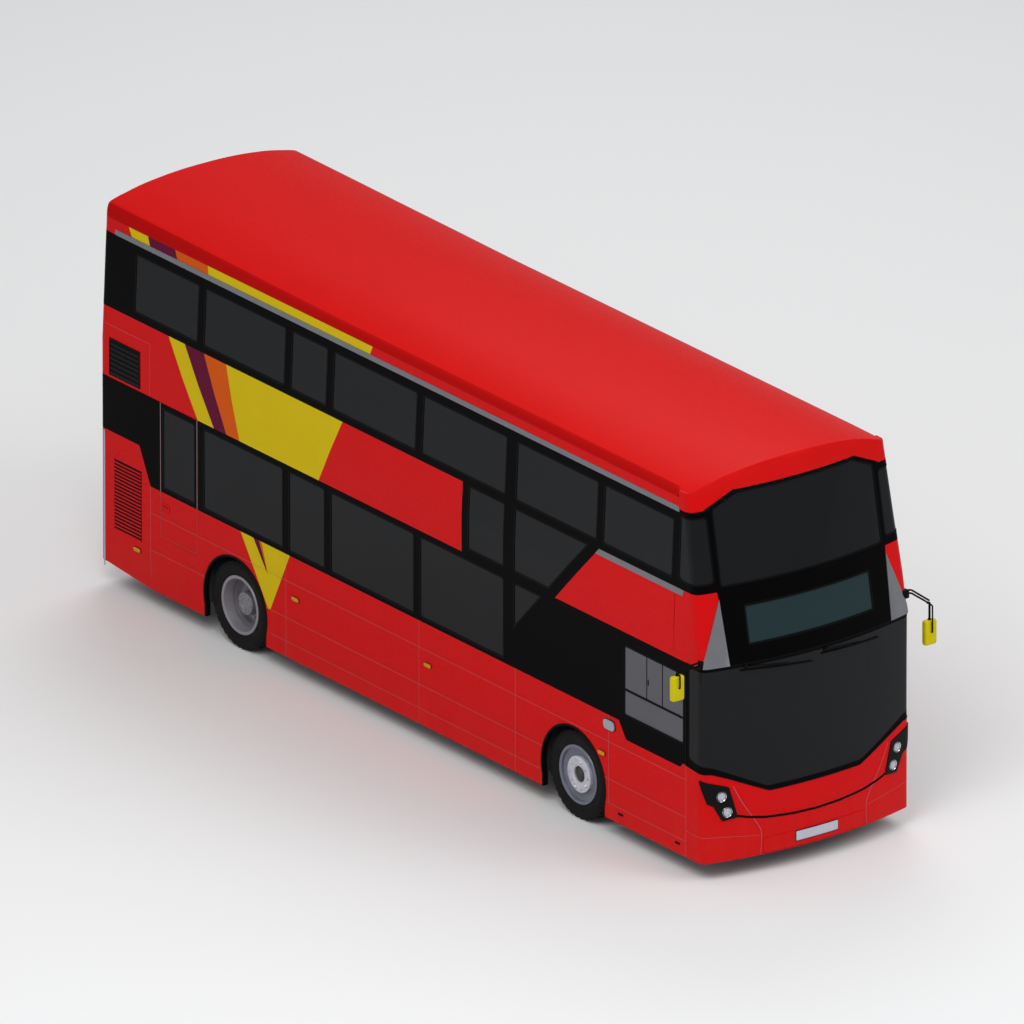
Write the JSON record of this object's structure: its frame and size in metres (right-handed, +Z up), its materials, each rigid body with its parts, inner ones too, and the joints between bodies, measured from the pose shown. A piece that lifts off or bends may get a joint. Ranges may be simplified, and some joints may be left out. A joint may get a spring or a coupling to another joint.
{
  "type": "double decker bus",
  "caption": "Two-deck city bus with right-hand drive, steered front wheels, twin rear wheels, a folding entrance, an emergency door, a hinged engine cover and arm mirrors.",
  "frame": {"origin": "on the ground under the middle of the overall box", "axes": "+X forward, +Y to the vehicle's left, +Z up"},
  "size_m": [10.1, 3.244, 4.185],
  "materials": {
    "red_paint": "gloss coach paint",
    "roof_paint": "gloss coach paint",
    "black_paint": "gloss black",
    "window_glass": "dark tinted",
    "display_glass": "smoked",
    "chassis_steel": "satin underbody paint",
    "floor_vinyl": "non-slip vinyl",
    "box_plastic": "moulded, grained",
    "seat_fabric": "moquette",
    "dash_plastic": "moulded, grained",
    "engine_iron": "painted casting",
    "wheel_steel": "silver wheel paint",
    "tyre_rubber": "moulded rubber",
    "mirror_paint": "gloss yellow",
    "lamp_lens": "clear lens"
  },
  "bodies": {
    "body": {"chassis_frame": "chassis_steel", "rear_subframe": "chassis_steel", "lower_floor": "floor_vinyl", "upper_floor": "floor_vinyl", "right_lower_side": "red_paint", "left_lower_side": "red_paint", "right_upper_side": "red_paint", "left_upper_side": "red_paint", "roof": "roof_paint", "front_bumper": "red_paint", "front_panel": "red_paint", "front_upper_panel": "black_paint", "rear_lower_panel": "red_paint", "rear_upper_panel": "red_paint", "windscreen": "window_glass", "upper_windscreen": "window_glass", "destination_display": "display_glass", "lower_windows": "window_glass", "upper_windows": "window_glass", "wheel_boxes": "box_plastic", "staircase": "floor_vinyl", "lower_seats": "seat_fabric", "upper_seats": "seat_fabric", "driver_seat": "seat_fabric", "dashboard": "dash_plastic", "cab_partition": "box_plastic", "engine_block": "engine_iron", "front_axle": "chassis_steel", "rear_axle": "chassis_steel", "mirrors": "mirror_paint", "lamps": "lamp_lens"},
    "knuckle_right": {"knuckle_right": "chassis_steel"},
    "knuckle_left": {"knuckle_left": "chassis_steel"},
    "wheel_front_right": {"front_right_wheel": "wheel_steel", "front_right_tyre": "tyre_rubber"},
    "wheel_front_left": {"front_left_wheel": "wheel_steel", "front_left_tyre": "tyre_rubber"},
    "wheel_rear_right": {"rear_right_wheel": "wheel_steel", "rear_right_tyre": "tyre_rubber"},
    "wheel_rear_left": {"rear_left_wheel": "wheel_steel", "rear_left_tyre": "tyre_rubber"},
    "steering_wheel": {"steering_wheel": "dash_plastic"},
    "entrance_door_rear": {"entrance_door_rear": "red_paint"},
    "entrance_door_front": {"entrance_door_front": "red_paint"},
    "emergency_door": {"emergency_door": "red_paint"},
    "engine_cover": {"engine_cover": "red_paint"},
    "cab_door": {"cab_door": "box_plastic"}
  },
  "joints": [
    {"name": "steer_left", "type": "hinge", "parent": "body", "child": "knuckle_left", "pos_m": [2.78, 1.0475, 0.464], "axis": [0, 0, 1], "range_deg": [-36, 36]},
    {"name": "steer_right", "type": "hinge", "parent": "body", "child": "knuckle_right", "pos_m": [2.78, -1.0475, 0.464], "axis": [0, 0, 1], "range_deg": [-36, 36]},
    {"name": "steering_turn", "type": "hinge", "parent": "body", "child": "steering_wheel", "pos_m": [4.34, -0.815, 1.08], "axis": [-0.4226, 0, 0.9063], "range_deg": [-648, 648]},
    {"name": "front_left_roll", "type": "hinge", "parent": "knuckle_left", "child": "wheel_front_left", "pos_m": [2.78, 1.1075, 0.464], "axis": [0, 1, 0], "continuous": true},
    {"name": "front_right_roll", "type": "hinge", "parent": "knuckle_right", "child": "wheel_front_right", "pos_m": [2.78, -1.1075, 0.464], "axis": [0, 1, 0], "continuous": true},
    {"name": "rear_left_roll", "type": "hinge", "parent": "body", "child": "wheel_rear_left", "pos_m": [-2.78, 0.9575, 0.464], "axis": [0, 1, 0], "continuous": true},
    {"name": "rear_right_roll", "type": "hinge", "parent": "body", "child": "wheel_rear_right", "pos_m": [-2.78, -0.9575, 0.464], "axis": [0, 1, 0], "continuous": true},
    {"name": "entrance_rear_swing", "type": "hinge", "parent": "body", "child": "entrance_door_rear", "pos_m": [3.46, 1.25, 0.356], "axis": [0, 0, -1], "range_deg": [0, 88]},
    {"name": "entrance_front_swing", "type": "hinge", "parent": "body", "child": "entrance_door_front", "pos_m": [4.51, 1.25, 0.356], "axis": [0, 0, 1], "range_deg": [0, 88]},
    {"name": "emergency_swing", "type": "hinge", "parent": "body", "child": "emergency_door", "pos_m": [-3.417, -1.263, 0.812], "axis": [0, 0, 1], "range_deg": [0, 90]},
    {"name": "engine_cover_lift", "type": "hinge", "parent": "body", "child": "engine_cover", "pos_m": [-5.028, 0, 1.482], "axis": [0, 1, 0], "range_deg": [0, 85]},
    {"name": "cab_door_swing", "type": "hinge", "parent": "body", "child": "cab_door", "pos_m": [3.558, -0.412, 0.506], "axis": [0, 0, 1], "range_deg": [0, 90]}
  ],
  "couplings": [
    {"joint": "steer_right", "follows": "steer_left", "ratio": 1},
    {"joint": "steering_turn", "follows": "steer_left", "ratio": 18},
    {"joint": "entrance_front_swing", "follows": "entrance_rear_swing", "ratio": 1}
  ]
}
